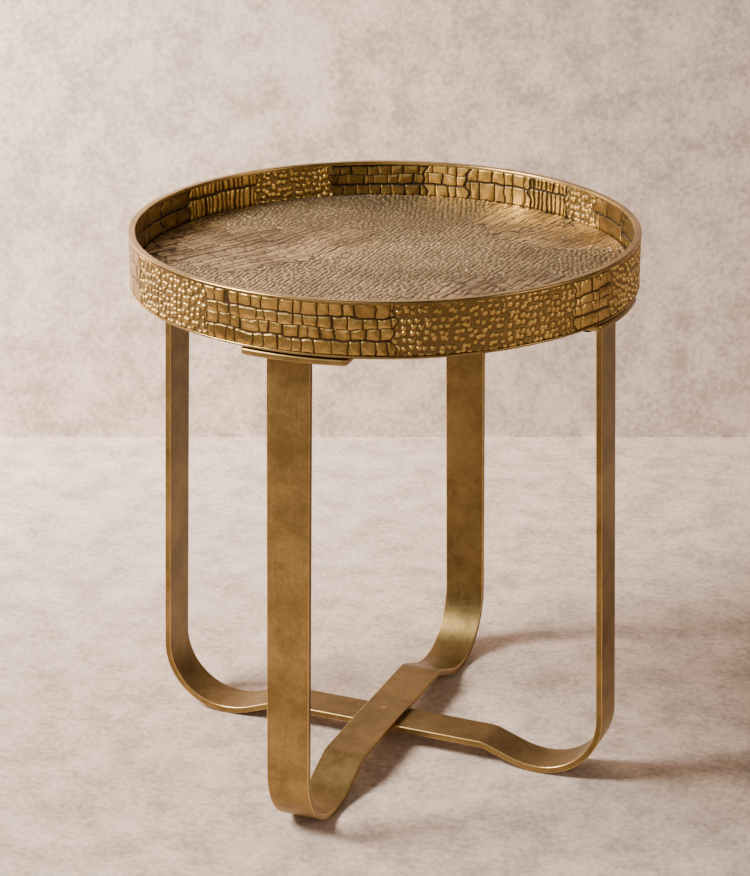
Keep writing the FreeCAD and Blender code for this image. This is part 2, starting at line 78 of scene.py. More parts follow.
# Patches round the wall, as the angle from +X in degrees at which each begins, and its grain.
OUTER_PATCHES = [
    (-180, "plates"), (-136, "pebbles"), (-109, "blocks"), (-66, "beads"), (-42, "bright_painted_light_pebbles"),
    (-24, "bright_painted_light_blocks"), (-10, "bright_painted_light_pebbles"), (25, "plates"), (48, "beads"), (80, "blocks"),
    (118, "pebbles"), (150, "blocks"),
]
INNER_PATCHES = [
    (-180, "plates"), (-160, "beads"), (-115, "blocks"), (-80, "pebbles"), (-40, "blocks"),
    (0, "pebbles"), (22, "dull_painted_shade_blocks"), (36, "plates"), (50, "pebbles"), (62, "dull_painted_shade_ribs"),
    (73, "tall_blocks"), (91, "blocks"), (102, "dull_painted_shade_blocks"), (126, "bright_painted_light_pebbles"),
    (146, "ribs"), (168, "plates"),
]
# The angles at which the rows of scales begin and end.
OUTER_SEAM, INNER_SEAM = -180, -80
# Quads round a band and up its face, and along each side of the floor sheet.
OUTER_GRID, INNER_GRID, FLOOR_GRID = (1700, 52), (2000, 40), 308
# Metal behind the deepest groove of a band.
BAND_BACK = 0.2 * MM

# Patches of the floor: middle in metres, lie of the scales in degrees from +X, and grain.
FLOOR_PATCHES = [
    (-0.170, 0.015, 65, "small_plates"), (-0.125, -0.035, 60, "small_plates"),
    (-0.175, 0.090, 10, "pebbles"), (-0.140, -0.130, 0, "pebbles"),
    (-0.075, 0.045, 75, "wrinkles"), (-0.090, 0.120, 60, "pebbles"),
    (-0.020, 0.185, 20, "pebbles"), (0.075, 0.180, 80, "slats"), (0.000, 0.100, 0, "pebbles"),
    (0.020, 0.020, 0, "beads"), (-0.050, -0.090, 0, "pebbles"), (-0.040, -0.180, 60, "pebbles"),
    (0.040, -0.150, 0, "beads"), (0.095, -0.080, 86, "slats"), (0.140, -0.105, 82, "slats"),
    (0.070, -0.190, 45, "ribs"), (0.170, -0.040, 80, "slats"), (0.110, 0.050, 0, "pebbles"),
    (0.180, 0.060, 20, "pebbles"), (0.130, 0.130, 70, "wrinkles"), (0.040, -0.060, 0, "pebbles"),
]


# ---------------------------------------------------------------- nodes

class Wire:
    """A node's output that Python arithmetic works on. Each operation adds a Math node."""

    def __init__(self, tree, socket):
        self.tree = tree
        self.socket = socket

    def math(self, operation, *others):
        inputs = dict(enumerate((self, *others)))
        return self.tree.add("ShaderNodeMath", {"operation": operation}, inputs)

    def __add__(self, other):
        return self.math("ADD", other)

    def __sub__(self, other):
        return self.math("SUBTRACT", other)

    def __mul__(self, other):
        return self.math("MULTIPLY", other)

    def __truediv__(self, other):
        return self.math("DIVIDE", other)

    def __rsub__(self, other):
        return self.tree.add("ShaderNodeMath", {"operation": "SUBTRACT"}, {0: other, 1: self})

    def __rtruediv__(self, other):
        return self.tree.add("ShaderNodeMath", {"operation": "DIVIDE"}, {0: other, 1: self})

    __radd__ = __add__
    __rmul__ = __mul__

    def output(self, name):
        """Another output of the same node."""
        return Wire(self.tree, self.socket.node.outputs[name])

    def ease(self, low, high):
        """Rises smoothly from 0 at low to 1 at high, or falls where low is above high."""
        ends = {"From Min": min(low, high), "From Max": max(low, high)}
        ends.update({"To Min": 0.0 if low < high else 1.0, "To Max": 1.0 if low < high else 0.0})
        settings = {"interpolation_type": "SMOOTHSTEP"}
        return self.tree.add("ShaderNodeMapRange", settings, {"Value": self, **ends})


class Tree:
    """A node tree that is built one node at a time."""

    def __init__(self, node_tree):
        self.node_tree = node_tree
        node_tree.nodes.clear()

    def add(self, kind, settings=None, inputs=None):
        """Adds a node of a type, sets it, then fills its sockets with values or links."""
        node = self.node_tree.nodes.new(kind)
        for name, setting in (settings or {}).items():
            if name == "stops":
                self.set_stops(node.color_ramp, setting)
            else:
                setattr(node, name, setting)
        for name, filling in (inputs or {}).items():
            if isinstance(filling, Wire):
                self.node_tree.links.new(filling.socket, node.inputs[name])
            else:
                node.inputs[name].default_value = filling
        return Wire(self, node.outputs[0]) if node.outputs else None

    @staticmethod
    def set_stops(ramp, stops):
        while len(ramp.elements) > 1:
            ramp.elements.remove(ramp.elements[-1])
        for index, (position, colour) in enumerate(stops):
            element = ramp.elements[0] if index == 0 else ramp.elements.new(position)
            element.position = position
            element.color = (*colour[:3], 1.0)

    def vector(self, x, y, z):
        return self.add("ShaderNodeCombineXYZ", inputs={0: x, 1: y, 2: z})

    def noise(self, vector, scale, detail=2.0, roughness=0.5):
        inputs = {"Vector": vector, "Scale": scale, "Detail": detail, "Roughness": roughness}
        return self.add("ShaderNodeTexNoise", inputs=inputs)

    def cells(self, vector, randomness):
        settings = {"feature": "F1", "voronoi_dimensions": "2D"}
        inputs = {"Vector": vector, "Scale": 1.0, "Randomness": randomness}
        return self.add("ShaderNodeTexVoronoi", settings, inputs)

    def random(self, x, y):
        return self.add("ShaderNodeTexWhiteNoise", {"noise_dimensions": "2D"},
                        {"Vector": self.vector(x, y, 0.0)})

    def scales(self, around, up, width, height, warp, groove):
        """Wavy rows of scales: their height, from 0 in the grooves to 1 on the scales."""
        bend = self.noise(self.vector(around, up, 0.0), 60.0, 2.0).output("Color")
        shift = self.add("ShaderNodeSeparateXYZ", inputs={0: bend})
        along = around + (shift - 0.5) * warp
        level = (up + (shift.output("Y") - 0.5) * warp) / height
        level = level + (level * 2.9 + 0.4).math("SINE") * 0.19
        row = level.math("FLOOR")
        jitter = self.noise(self.vector(along / width * 0.7, row * 0.45, 0.0), 1.0, 1.0)
        place = along / width + self.random(row, 7.0) * 0.7 + jitter * 1.8
        column = place.math("FLOOR")
        in_column, in_row = place - column, level - row
        to_side = in_column.math("MINIMUM", 1 - in_column) * width
        to_end = in_row.math("MINIMUM", 1 - in_row) * height
        to_edge = to_side.math("SMOOTH_MIN", to_end, 0.0014)
        top = (to_edge / groove).ease(0.2, 1.0)
        crown = (to_edge / (width.math("MINIMUM", height) * 0.5)).ease(0.0, 1.0)
        return top * (0.56 + crown * 0.3 + self.random(column, row) * 0.14)

    def pebbles(self, around, up, size, close):
        """Rounded bumps of uneven size, packed close or standing apart."""
        bend = self.noise(self.vector(around, up, 2.0), 110.0, 1.0).output("Color")
        shift = self.add("ShaderNodeSeparateXYZ", inputs={0: bend})
        place = self.vector(around / size + shift * 0.35, up / size + shift.output("Y") * 0.35, 0.0)
        cell = self.cells(place, 0.6)
        spread = self.add("ShaderNodeSeparateXYZ", inputs={0: cell.output("Color")})
        reach = cell.output("Distance") / (0.45 + spread * 0.10 + close * 0.09)
        return reach.ease(1.0, 0.35) * (0.8 + spread.output("Y") * 0.2)

    def relief(self, field, warp, groove, pebble_size, border):
        """Height of the embossing, from the fields that each patch is stored with."""
        around, up, pebbled = field("around"), field("up"), field("pebbled")
        scales = self.scales(around, up, field("scale_width"), field("scale_height"), warp, groove)
        pebbles = self.pebbles(around, up, pebble_size, field("close"))
        height = scales * (1 - pebbled) + pebbles * pebbled
        return height * (field("to_border") / border).ease(0.4, 1.4)


class Shader(Tree):
    """The node tree of one material, with one Principled shader."""

    def __init__(self, name):
        self.material = bpy.data.materials.new(name)
        self.material.use_nodes = True
        super().__init__(self.material.node_tree)
        self.place = self.add("ShaderNodeTexCoord").output("Object")

    def attribute(self, name):
        return self.add("ShaderNodeAttribute", {"attribute_name": name}).output("Fac")

    def mix(self, share, first, second):
        """Mixes two colours."""
        wire = self.add("ShaderNodeMix", {"data_type": "RGBA"}, {0: share, 6: first, 7: second})
        return Wire(self, wire.socket.node.outputs[2])

    def ramp(self, wire, *stops):
        return self.add("ShaderNodeValToRGB", {"stops": stops}, {"Fac": wire})

    def bump(self, height, distance, strength=1.0, normal=None):
        inputs = {"Strength": strength, "Distance": distance, "Height": height}
        if normal:
            inputs["Normal"] = normal
        return self.add("ShaderNodeBump", inputs=inputs)

    def finish(self, **sockets):
        """Ends the tree in a Principled shader with these sockets filled."""
        inputs = {name.replace("_", " "): filling for name, filling in sockets.items()}
        shader = self.add("ShaderNodeBsdfPrincipled", inputs=inputs)
        self.add("ShaderNodeOutputMaterial", inputs={"Surface": shader})
        return self.material


# ---------------------------------------------------------------- finishes

def rgba(colour):
    return (*colour, 1.0)


def shaded(colour, share):
    """A colour made darker or lighter by a share."""
    return tuple(channel * share for channel in colour)


def embossed_brass(name, light, dark, patina, stamp, bump):
    """Old brass sheet: bright on the raised scales and dark with patina in the grooves. Its colour is
    scaled by each patch's tone, partly the metal's own and partly painted light and shade.
    """
    tree = Shader(name)
    relief = tree.relief(tree.attribute, *stamp)
    pebbled = tree.attribute("pebbled")
    cloud = tree.noise(tree.place, 16.0, 5.0, 0.6)
    speck = tree.noise(tree.place, 420.0, 3.0, 0.65)
    worn = (relief + (cloud - 0.5) * 0.3 + (speck - 0.5) * 0.3).ease(0.12, 0.75)
    tone = (cloud + (relief - 0.7) * 0.35 + (speck - 0.5) * 0.3).ease(0.36, 0.66)
    metal = tree.mix(tone, rgba(dark), rgba(light))
    ground = tree.mix(pebbled * 0.55, rgba(patina), rgba(shaded(dark, 0.85)))
    colour = tree.mix(worn, ground, metal)
    # Scaled by the patch's tone: partly the metal's own and partly painted light and shade.
    colour = tree.add("ShaderNodeVectorMath", {"operation": "SCALE"},
                      {0: colour, "Scale": tree.attribute("tone")})
    fine = tree.noise(tree.place, 900.0, 2.0, 0.6)
    roughness = 0.47 - worn * 0.13 + (speck - 0.5) * 0.2
    normal = tree.bump(relief, bump, 1.0, tree.bump(fine + speck * 2.0, 0.00010, 0.6))
    return tree.finish(Base_Color=colour, Roughness=roughness, Metallic=0.7 + worn * 0.3,
                       Normal=normal)


def bar_brass(name, colours):
    """Satin brass, brushed along its length and mottled brown, with its edges lighter, partly rubbed
    wear and partly a painted highlight. The face that turns inwards on the legs and upwards
    between them is darkened with painted shade."""
    tree = Shader(name)
    along, across = tree.attribute("along"), tree.attribute("across")
    brushed = tree.noise(tree.vector(along * 14.0, across * 900.0, 0.0), 1.0, 4.0, 0.6)
    cloud = tree.noise(tree.place, 20.0, 6.0, 0.66)
    speck = tree.noise(tree.place, 300.0, 4.0, 0.65)
    stains = tree.noise(tree.place, 60.0, 4.0, 0.7).ease(0.5, 0.74)
    tone = (cloud * 0.65 + speck * 0.2 + brushed * 0.15).ease(0.36, 0.64)
    colour = tree.mix(tone, rgba(colours.bar_dark), rgba(colours.bar_light))
    colour = tree.mix(stains * 0.35, colour, rgba(shaded(colours.bar_dark, 0.6)))
    # Painted shade: the face turned inwards is darkened by up to 42%.
    colour = tree.add("ShaderNodeVectorMath", {"operation": "SCALE"},
                      {0: colour, "Scale": 1 - tree.attribute("inside") * 0.42})
    # Edges lightened: partly rubbed wear and partly a painted highlight.
    rubbed_wear_and_highlight = tree.attribute("edge").ease(0.15, 0.8) * (0.35 + cloud * 0.9)
    colour = tree.mix(rubbed_wear_and_highlight, colour, rgba(shaded(colours.bar_light, 2.0)))
    roughness = 0.42 + (brushed - 0.5) * 0.18 + (speck - 0.5) * 0.12 - rubbed_wear_and_highlight * 0.14
    normal = tree.bump(brushed + speck, 0.00006, 0.5)
    return tree.finish(Base_Color=colour, Roughness=roughness, Metallic=1.0, Normal=normal)


def burnished_brass(name, colours):
    """The smooth trim: rubbed bright, with faint scratches and a little brown in places."""
    tree = Shader(name)
    cloud = tree.noise(tree.place, 22.0, 5.0, 0.6)
    scratch = tree.noise(tree.vector(tree.attribute("along") * 25.0,
                                     tree.attribute("across") * 2500.0, 0.0), 1.0, 3.0, 0.6)
    colour = tree.mix(cloud.ease(0.35, 0.68), rgba(shaded(colours.trim, 0.62)),
                      rgba(colours.trim))
    roughness = 0.27 + (scratch - 0.5) * 0.2 + (cloud - 0.5) * 0.15
    normal = tree.bump(scratch, 0.00004, 0.5)
    return tree.finish(Base_Color=colour, Roughness=roughness, Metallic=1.0, Normal=normal)


def plain_brass(name, colours, light):
    """Satin brass for small solid pieces, mottled all over, and darker where light is under 1."""
    tree = Shader(name)
    cloud = tree.noise(tree.place, 30.0, 5.0, 0.62)
    grain = tree.noise(tree.place, 600.0, 3.0, 0.6)
    stains = tree.noise(tree.place, 110.0, 4.0, 0.7).ease(0.5, 0.7)
    colour = tree.mix(cloud.ease(0.3, 0.7), rgba(shaded(colours.bar_dark, light)),
                      rgba(shaded(colours.bar_light, light)))
    colour = tree.mix(stains * 0.4, colour, rgba(shaded(colours.bar_dark, 0.4 * light)))
    roughness = 0.38 + (grain - 0.5) * 0.2 + stains * 0.1
    return tree.finish(Base_Color=colour, Roughness=roughness, Metallic=1.0,
                       Normal=tree.bump(grain, 0.00006, 0.5))


def black_steel():
    tree = Shader("blackened_steel")
    cloud = tree.noise(tree.place, 160.0, 4.0, 0.65)
    colour = tree.ramp(cloud, (0.35, (0.012, 0.011, 0.010)), (0.7, (0.055, 0.050, 0.046)))
    return tree.finish(Base_Color=colour, Roughness=0.34 + cloud * 0.22, Metallic=0.9,
                       Normal=tree.bump(cloud, 0.0001, 0.3))


def bent_plywood():
    """Raw plywood, its plies lying round the hoop."""
    tree = Shader("bent_plywood")
    axes = tree.add("ShaderNodeSeparateXYZ", inputs={0: tree.place})
    radius = (axes * axes + axes.output("Y") * axes.output("Y")).math("SQRT")
    plies = (radius * 1400.0).math("FRACT").ease(0.42, 0.58)
    grain = tree.noise(tree.vector(axes * 20.0, axes.output("Y") * 20.0,
                                   axes.output("Z") * 700.0), 1.0, 4.0, 0.6)
    light = tree.ramp(grain, (0.3, (0.36, 0.23, 0.12)), (0.7, (0.55, 0.38, 0.22)))
    colour = tree.mix(plies * 0.5, light, rgba((0.26, 0.15, 0.08)))
    return tree.finish(Base_Color=colour, Roughness=0.72 + grain * 0.1,
                       Normal=tree.bump(grain, 0.0002, 0.4))


def stained_board():
    """Wood-fibre board with a dark stain on its underside."""
    tree = Shader("stained_board")
    fibre = tree.noise(tree.place, 260.0, 6.0, 0.7)
    cloud = tree.noise(tree.place, 9.0, 4.0, 0.6)
    shade = fibre * 0.5 + cloud * 0.5
    colour = tree.ramp(shade, (0.35, (0.014, 0.010, 0.008)), (0.66, (0.050, 0.038, 0.028)))
    return tree.finish(Base_Color=colour, Roughness=0.62 + fibre * 0.2,
                       Normal=tree.bump(fibre, 0.0003, 0.5))


def pad_rubber():
    tree = Shader("pad_rubber")
    grain = tree.noise(tree.place, 700.0, 3.0, 0.7)
    colour = tree.ramp(grain, (0.3, (0.012, 0.011, 0.010)), (0.7, (0.035, 0.032, 0.030)))
    return tree.finish(Base_Color=colour, Roughness=0.75 + grain * 0.15,
                       Normal=tree.bump(grain, 0.0002, 0.6))


def studio_plaster(name, colour, scale):
    """Pale, softly mottled plaster for the floor and the backdrop."""
    tree = Shader(name)
    cloud = tree.noise(tree.place, scale, 7.0, 0.66)
    speck = tree.noise(tree.place, scale * 7.0, 4.0, 0.65)
    shade = cloud * 0.55 + speck * 0.45
    tint = tree.ramp(shade, (0.40, shaded(colour, 0.60)), (0.60, shaded(colour, 1.12)))
    return tree.finish(Base_Color=tint, Roughness=0.9, Normal=tree.bump(speck, 0.0006, 0.25))


# ---------------------------------------------------------------- meshes

def new_object(name, mesh):
    thing = bpy.data.objects.new(name, mesh)
    bpy.context.scene.collection.objects.link(thing)
    return thing


def store(mesh, name, values):
    """Keeps one number for each vertex, for a material or a node tree to read."""
    mesh.attributes.new(name, "FLOAT", "POINT").data.foreach_set("value", np.float32(values))


def mesh_of_quads(name, points, quads, extra_faces=()):
    mesh = bpy.data.meshes.new(name)
    mesh.from_pydata(points.tolist(), [], quads.tolist() + [list(face) for face in extra_faces])
    mesh.shade_smooth()
    return mesh


def grid_quads(rings, across, closed_rings, closed_across):
    """Corner numbers of the quads between rings of points, each ring a row of the grid."""
    ring = np.arange(rings if closed_rings else rings - 1)[:, None]
    spot = np.arange(across if closed_across else across - 1)[None, :]
    next_ring, next_spot = (ring + 1) % rings, (spot + 1) % across
    corners = [ring * across + spot, ring * across + next_spot,
               next_ring * across + next_spot, next_ring * across + spot]
    return np.stack([np.broadcast_to(c, (len(ring), spot.shape[1])) for c in corners], -1).reshape(-1, 4)


def rounded_rectangle(width, height, radii, steps=4):
    """Outline of a rectangle about its middle: one radius for each corner, counter-clockwise
    from the far upper one. Gives points and their outward normals."""
    points, normals = [], []
    corners = [(1, 1, 0), (-1, 1, 90), (-1, -1, 180), (1, -1, 270)]
    for (side, level, start), radius in zip(corners, radii):
        centre = np.array([side * (width / 2 - radius), level * (height / 2 - radius)])
        for step in range(steps + 1):
            angle = math.radians(start + 90 * step / steps)
            normal = np.array([math.cos(angle), math.sin(angle)])
            points.append(centre + normal * radius)
            normals.append(normal)
    return np.array(points), np.array(normals)


def sweep(name, origins, firsts, seconds, section, along, closed=False):
    """Sweeps a section, given as points and normals, through frames of two axes each."""
    points, normals = section
    count = len(points)
    place = (origins[:, None, :] + firsts[:, None, :] * points[None, :, :1]
             + seconds[:, None, :] * points[None, :, 1:])
    facing = firsts[:, None, :] * normals[None, :, :1] + seconds[:, None, :] * normals[None, :, 1:]
    ends = [] if closed else [range(count), reversed(range((len(origins) - 1) * count,
                                                           len(origins) * count))]
    quads = grid_quads(len(origins), count, closed, True)
    mesh = mesh_of_quads(name, place.reshape(-1, 3), quads, ends)
    store(mesh, "along", np.repeat(along, count))
    store(mesh, "across", np.tile(points[:, 0] + points[:, 1], len(origins)))
    store(mesh, "edge", np.tile(2 * np.abs(normals[:, 0] * normals[:, 1]), len(origins)))
    # Share of each face turned inwards, read by the bars' finish for its painted shade.
    store(mesh, "inside", np.tile((1 - normals[:, 1]) / 2, len(origins)))
    fix_facing(mesh)
    if closed:
        mesh.normals_split_custom_set_from_vertices(facing.reshape(-1, 3))
    else:
        set_side_normals(mesh, facing.reshape(-1, 3))
    return mesh


def fix_facing(mesh):
    """Turns every face outwards."""
    work = bmesh.new()
    work.from_mesh(mesh)
    bmesh.ops.recalc_face_normals(work, faces=work.faces)
    work.to_mesh(mesh)
    work.free()


def set_side_normals(mesh, normals):
    """Gives the swept faces their exact normals and leaves the end caps flat."""
    corner_normals = []
    for face in mesh.polygons:
        for vertex in face.vertices:
            flat_cap = len(face.vertices) > 4
            corner_normals.append(tuple(face.normal) if flat_cap else tuple(normals[vertex]))
    mesh.normals_split_custom_set(corner_normals)


def ring_frames(steps):
    """Frames for a sweep round the table's middle line."""
    angles = np.linspace(0, 2 * math.pi, steps, endpoint=False)
    outwards = np.stack([np.cos(angles), np.sin(angles), np.zeros(steps)], 1)
    return angles, np.zeros((steps, 3)), outwards, np.tile([0.0, 0.0, 1.0], (steps, 1))


def ring_mesh(name, inside, outside, bottom, top, radii, steps=720):
    """A ring of rounded rectangular section."""
    angles, origins, outwards, ups = ring_frames(steps)
    points, normals = rounded_rectangle(outside - inside, top - bottom, radii)
    points = points + [(inside + outside) / 2, (bottom + top) / 2]
    return sweep(name, origins, outwards, ups, (points, normals), angles * outside, closed=True)


def lathe(name, profile, steps):
    """Turns a profile of (radius, height) round the middle line. Both its ends are on that line."""
    inner = profile[1:-1]
    angles = np.linspace(0, 2 * math.pi, steps, endpoint=False)
    radii, heights = np.tile(inner[:, 0], steps), np.tile(inner[:, 1], steps)
    turned = np.repeat(angles, len(inner))
    points = np.stack([radii * np.cos(turned), radii * np.sin(turned), heights], 1)
    poles = [[0, 0, profile[0, 1]], [0, 0, profile[-1, 1]]]
    quads = grid_quads(steps, len(inner), True, False)
    top, bottom = len(points), len(points) + 1
    first = np.arange(steps) * len(inner)
    fans = [(top, a, b) for a, b in zip(first, np.roll(first, -1))]
    last = first + len(inner) - 1
    fans += [(bottom, b, a) for a, b in zip(last, np.roll(last, -1))]
    fans = [tuple(int(corner) for corner in fan) for fan in fans]
    mesh = mesh_of_quads(name, np.concatenate([points, poles]), quads, fans)
    fix_facing(mesh)
    return mesh


# ---------------------------------------------------------------- embossing

def patch_fields(mesh, starts, edge_distance, lie, grains):
    """Stores what each vertex's patch is stamped with."""
    # tone is a brightness share, partly the metal's own and partly painted light and shade.
    for place, name in enumerate(("scale_width", "scale_height", "pebbled", "close", "tone")):
        store(mesh, name, np.array([GRAINS[grain][place] for grain in grains])[starts])
    store(mesh, "to_border", edge_distance)
    store(mesh, "around", lie[0])
    store(mesh, "up", lie[1])


def wobble(first, second, size):
    """A smooth, fixed, uneven line, for borders between patches."""
    return size * (np.sin(first * 210 + 1.3) * 0.5 + np.sin(first * 520 + second * 90) * 0.3
                   + np.sin(second * 330 + 2.1) * 0.4)


def band_mesh(name, face_radius, back_radius, bottom, top, patches, grid, seam):
    """A closed band. Its face is a fine grid ready to be embossed, and its back is plain. The
    rows of scales begin and end at the seam, an angle in degrees."""
    columns, rows = grid
    angles, _, outwards, ups = ring_frames(columns)
    levels = np.linspace(bottom, top, rows + 1)
    radii = np.concatenate([np.full(rows + 1, face_radius), [back_radius, back_radius]])
    heights = np.concatenate([levels, [top, bottom]])
    points = outwards[:, None, :] * radii[None, :, None] + ups[:, None, :] * heights[None, :, None]
    mesh = mesh_of_quads(name, points.reshape(-1, 3), grid_quads(columns, rows + 3, True, True))
    height = np.tile(heights, columns)
    around = np.repeat(angles, rows + 3)
    turned = np.degrees((around + math.pi) % (2 * math.pi) - math.pi)
    sway = 4 * MM
    turned = turned + wobble(height, around * 0.05, math.degrees(sway / face_radius))
    begins = np.array([start for start, grain in patches])
    index = np.clip(np.searchsorted(begins, turned, side="right") - 1, 0, len(begins) - 1)
    borders = np.append(begins, 180)
    to_border = np.abs(turned[:, None] - borders[None, :]).min(1) * math.radians(1) * face_radius
    run = np.radians((np.degrees(around) - seam) % 360) * face_radius
    patch_fields(mesh, index, to_border, (run, height - bottom), [grain for start, grain in patches])
    on_face = np.tile(np.concatenate([[0], np.ones(rows - 1), [0, 0, 0]]), columns)
    store(mesh, "on_face", on_face)
    return mesh


def disc_mesh(name, radius, bottom, top, patches, cells):
    """A closed disc whose top is a fine grid, squeezed from a square to a circle."""
    side = np.linspace(-1, 1, cells + 1)
    u, v = np.meshgrid(side, side, indexing="ij")
    x = radius * u * np.sqrt(1 - v * v / 2)
    y = radius * v * np.sqrt(1 - u * u / 2)
    count = (cells + 1) ** 2
    points = np.stack([x.ravel(), y.ravel(), np.full(count, top)], 1)
    quads = grid_quads(cells + 1, cells + 1, False, False)
    numbers = np.arange(count).reshape(cells + 1, cells + 1)
    rim = np.concatenate([numbers[:-1, 0], numbers[-1, :-1], numbers[:0:-1, -1], numbers[0, :0:-1]])
    lower = points[rim] * [1, 1, 0] + [0, 0, bottom]
    below = count + np.arange(len(rim))
    skirt = np.stack([rim, np.roll(rim, -1), np.roll(below, -1), below], 1)
    mesh = mesh_of_quads(name, np.concatenate([points, lower]), np.concatenate([quads, skirt]),
                         [below])
    fix_facing(mesh)
    px, py = np.concatenate([points, lower])[:, :2].T
    sway = 7 * MM
    wx, wy = px + wobble(py, px, sway), py + wobble(px, py * 0.7, sway)
    middles = np.array([(mx, my) for mx, my, lie, grain in patches])
    distances = np.hypot(wx[:, None] - middles[:, 0], wy[:, None] - middles[:, 1])
    index = distances.argmin(1)
    nearest_two = np.sort(distances, 1)[:, :2]
    to_border = (nearest_two[:, 1] - nearest_two[:, 0]) / 2
    lies = np.radians(np.array([lie for mx, my, lie, grain in patches]))[index]
    turned = (px * np.cos(lies) + py * np.sin(lies), py * np.cos(lies) - px * np.sin(lies))
    patch_fields(mesh, index, to_border, turned, [grain for mx, my, lie, grain in patches])
    on_face = np.ones(len(px))
    on_face[count:] = 0
    on_face[rim] = 0
    store(mesh, "on_face", on_face)
    return mesh


class Emboss(Tree):
    """The Geometry Nodes that stamp scales and pebbles into a sheet's face."""
    STAMP = ("Warp", "Groove", "Pebble Size", "Border")

    def __init__(self):
        group = bpy.data.node_groups.new("emboss", "GeometryNodeTree")
        super().__init__(group)
        panel = group.interface
        panel.new_socket("Geometry", in_out="INPUT", socket_type="NodeSocketGeometry")
        self.sockets = {}
        for name in ("Relief", *self.STAMP):
            socket = panel.new_socket(name, in_out="INPUT", socket_type="NodeSocketFloat")
            self.sockets[name] = socket.identifier
        finish = panel.new_socket("Finish", in_out="INPUT", socket_type="NodeSocketMaterial")
        self.sockets["Finish"] = finish.identifier
        panel.new_socket("Geometry", in_out="OUTPUT", socket_type="NodeSocketGeometry")
        self.build()

    def field(self, name):
        return self.add("GeometryNodeInputNamedAttribute", {"data_type": "FLOAT"}, {"Name": name})

    def build(self):
        inlet = self.add("NodeGroupInput")
        sizes = [inlet.output(name) for name in self.STAMP]
        height = self.relief(self.field, *sizes) * self.field("on_face")
        push = self.add("ShaderNodeVectorMath", {"operation": "SCALE"},
                        {0: self.add("GeometryNodeInputNormal"),
                         "Scale": height * inlet.output("Relief")})
        moved = self.add("GeometryNodeSetPosition", inputs={"Geometry": inlet, "Offset": push})
        real = self.add("GeometryNodeRealizeInstances", inputs={"Geometry": moved})
        done = self.add("GeometryNodeSetMaterial",
                        inputs={"Geometry": real, "Material": inlet.output("Finish")})
        self.add("NodeGroupOutput", inputs={0: done})

    def stamp(self, thing, finish, relief, stamp):
        """Runs the tree on an object and keeps its result as a plain mesh."""
        modifier = thing.modifiers.new("emboss", "NODES")
        modifier.node_group = self.node_tree
        modifier[self.sockets["Finish"]] = finish
        modifier[self.sockets["Relief"]] = relief
        for name, size in zip(self.STAMP, stamp):
            modifier[self.sockets[name]] = size
        graph = bpy.context.evaluated_depsgraph_get()
        mesh = bpy.data.meshes.new_from_object(thing.evaluated_get(graph),
                                               preserve_all_data_layers=True, depsgraph=graph)
        thing.modifiers.clear()
        thing.data = mesh
        mesh.attributes.remove(mesh.attributes["on_face"])
        return thing


# ---------------------------------------------------------------- bars

class BarLine:
    """The middle line of a bent bar, drawn as a bender works: straight runs and bends."""

    def __init__(self, start, heading):
        self.points = [np.array(start, float)]
        self.headings = [heading]

    def run(self, length):
        heading = self.headings[-1]
        step = np.array([math.cos(heading), math.sin(heading)]) * length
        self.points.append(self.points[-1] + step)
        self.headings.append(heading)

    def bend(self, radius, angle, steps=24):
        """Turns by an angle in degrees, to the left where it is positive."""
        start, heading = self.points[-1], self.headings[-1]
        side = math.copysign(1, angle)
        centre = start + radius * side * np.array([-math.sin(heading), math.cos(heading)])
        for step in range(1, steps + 1):
            turned = heading + math.radians(angle) * step / steps
            arm = radius * side * np.array([math.sin(turned), -math.cos(turned)])
            self.points.append(centre + arm)
            self.headings.append(turned)


def bar_line(sizes, low, high, top, out, rise):
    """Half of a bar, from the top of its leg to the middle, as points and headings."""
    half = sizes.bar_thickness / 2
    bend, sole, crest = sizes.bend_radius - half, sizes.sole_radius - half, sizes.crest_radius + half
    lean, slope = sizes.leg_lean, math.radians(rise)
    bend_top = low + half + bend * (1 + math.sin(lean))
    leg = (top - bend_top) / math.cos(lean)
    start = out - sizes.bend_radius + bend * math.cos(lean) - leg * math.sin(lean)
    climb = high - low - (sole + crest) * (1 - math.cos(slope))
    line = BarLine((start, top), lean - math.pi / 2)
    line.run(leg)
    line.bend(bend, -90 - math.degrees(lean))
    line.bend(sole, -rise, 12)
    line.run(climb / math.sin(slope))
    line.bend(crest, rise, 12)
    line.run(line.points[-1][0])
    return np.array(line.points), np.array(line.headings)


# ---------------------------------------------------------------- settings

def length(name, default, description):
    return bpy.props.FloatProperty(name=name, default=default, description=description,
                                   subtype="DISTANCE", unit="LENGTH", precision=5)


def angle(name, default, description):
    return bpy.props.FloatProperty(name=name, default=math.radians(default), subtype="ANGLE",
                                   description=description)


def colour(name, default, description):
    return bpy.props.FloatVectorProperty(name=name, default=default, description=description,
                                         subtype="COLOR", size=3, min=0.0, max=2.0)


class TrayTableSizes(bpy.types.PropertyGroup):
    """Sizes that the finished pieces are made to."""
    relief: length("Relief", 1.1 * MM, "Height of the embossing on the wall")
    floor_relief: length("Floor Relief", 0.8 * MM, "Height of the embossing on the floor")
    groove: length("Groove", 0.75 * MM, "Half the width of the groove between two scales")
    pebble_size: length("Pebble Spacing", 6.1 * MM, "Distance between pebbles on the wall")
    floor_pebble_size: length("Floor Pebble Spacing", 4.4 * MM, "The same on the floor")
    bar_thickness: length("Bar Thickness", 6 * MM, "Thickness of the flat bar")
    bar_edge: length("Bar Edge", 0.9 * MM, "Rounding of the flat bar's edges")
    bend_radius: length("Bend Radius", 63 * MM, "Leg bend, on its outer face")
    leg_lean: angle("Leg Lean", 1.9, "Lean of a leg towards the middle as it rises")
    sole_radius: length("Sole Radius", 84 * MM, "Inner half of a foot, on its underside")
    crest_radius: length("Crest Radius", 22 * MM, "Rise into the middle, on its underside")
    lower_rise: angle("Lower Rise", 20, "Slope of the lower bar's rise")
    upper_rise: angle("Upper Rise", 22.5, "Slope of the upper bar's rise")
    trim_edge: length("Trim Edge", 1.3 * MM, "Rounding of the rim cap")


